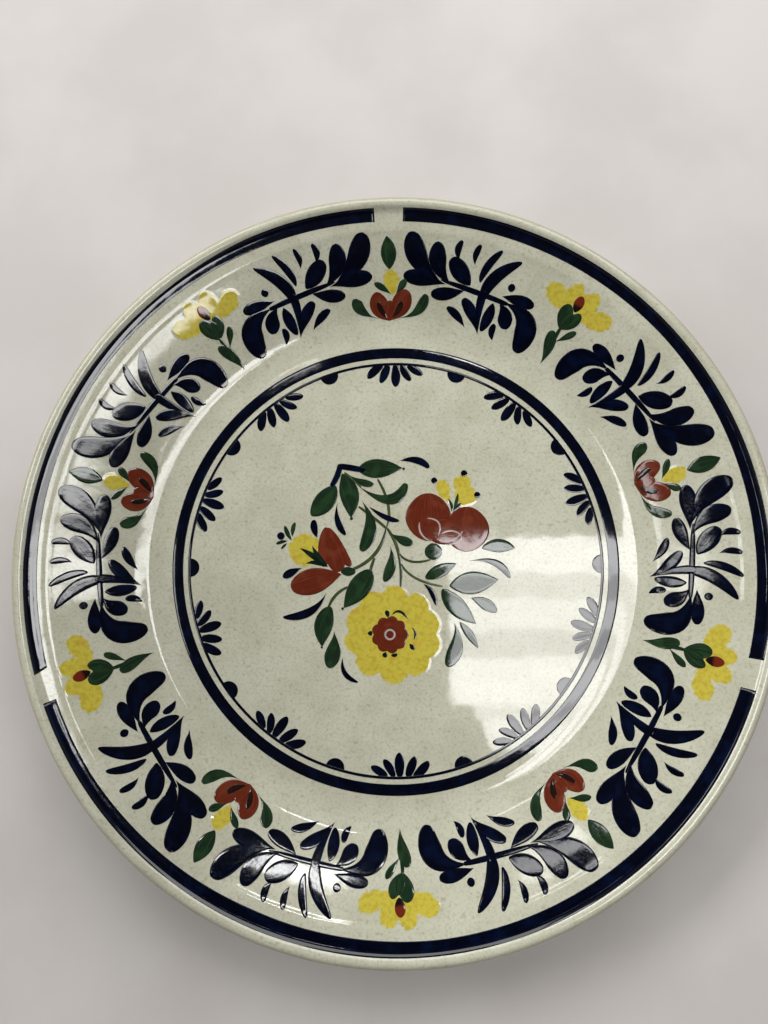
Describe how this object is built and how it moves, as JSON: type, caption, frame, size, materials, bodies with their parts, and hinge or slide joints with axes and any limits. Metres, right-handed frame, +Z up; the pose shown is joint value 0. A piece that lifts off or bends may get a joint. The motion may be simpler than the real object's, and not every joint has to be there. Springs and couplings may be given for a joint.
{
  "type": "painted stoneware dinner plate",
  "caption": "Round stoneware dinner plate with a flat well, sloping border, rolled lip and low foot ring, painted with blue sprays, border flowers and a bouquet.",
  "frame": {"origin": "middle of the foot ring's resting plane", "axes": "+Z up through the well, plate face up; +Y towards the tulip at the top of the border; +X to the right of it seen from above"},
  "size_m": [0.268, 0.268, 0.0244],
  "materials": {
    "stoneware": "unglazed buff stoneware, fine grog, matt",
    "speckled_glaze": "clear glossy glaze over oatmeal stoneware with fine brown specks",
    "navy_paint": "cobalt brushwork under gloss, near black where thick",
    "brick_paint": "iron red brushwork under gloss",
    "brown_paint": "dark brown lines and hearts under gloss",
    "grey_line_paint": "thin pale grey-mauve scroll lines under gloss",
    "yellow_paint": "sponged soft-edged yellow under gloss",
    "green_paint": "dark green brushwork with lighter streaks under gloss",
    "olive_paint": "thin olive green lines under gloss",
    "black_green_paint": "black-green fine strokes under gloss"
  },
  "bodies": {
    "root": {"stoneware_body": "stoneware", "foot_ring": "stoneware", "glaze_coat": "speckled_glaze", "rim_band": "navy_paint", "well_ring": "navy_paint", "thin_ring": "navy_paint", "half_daisies": "navy_paint", "half_dots": "navy_paint", "blue_spray_1": "navy_paint", "blue_spray_2": "navy_paint", "blue_spray_3": "navy_paint", "blue_spray_4": "navy_paint", "blue_spray_5": "navy_paint", "blue_spray_6": "navy_paint", "blue_spray_7": "navy_paint", "blue_spray_8": "navy_paint", "blue_spray_9": "navy_paint", "blue_spray_10": "navy_paint", "bouquet_blue_strokes": "navy_paint", "tulip_petals": "brick_paint", "left_bloom_petals": "brick_paint", "right_bloom_petals": "brick_paint", "round_bloom_centre": "brick_paint", "tulip_veins": "brown_paint", "fan_flower_hearts": "brown_paint", "right_bloom_swirls": "grey_line_paint", "round_bloom_ring": "grey_line_paint", "tulip_buds": "yellow_paint", "fan_flower_petals": "yellow_paint", "left_bloom_centre": "yellow_paint", "right_bloom_buds": "yellow_paint", "round_bloom_petals": "yellow_paint", "tulip_leaves": "green_paint", "fan_flower_leaves": "green_paint", "bouquet_leaves": "green_paint", "left_bloom_sprigs": "green_paint", "right_bloom_sprigs": "green_paint", "bouquet_stems": "olive_paint", "left_bloom_stamens": "black_green_paint", "round_bloom_stamens": "black_green_paint"}
  },
  "joints": []
}
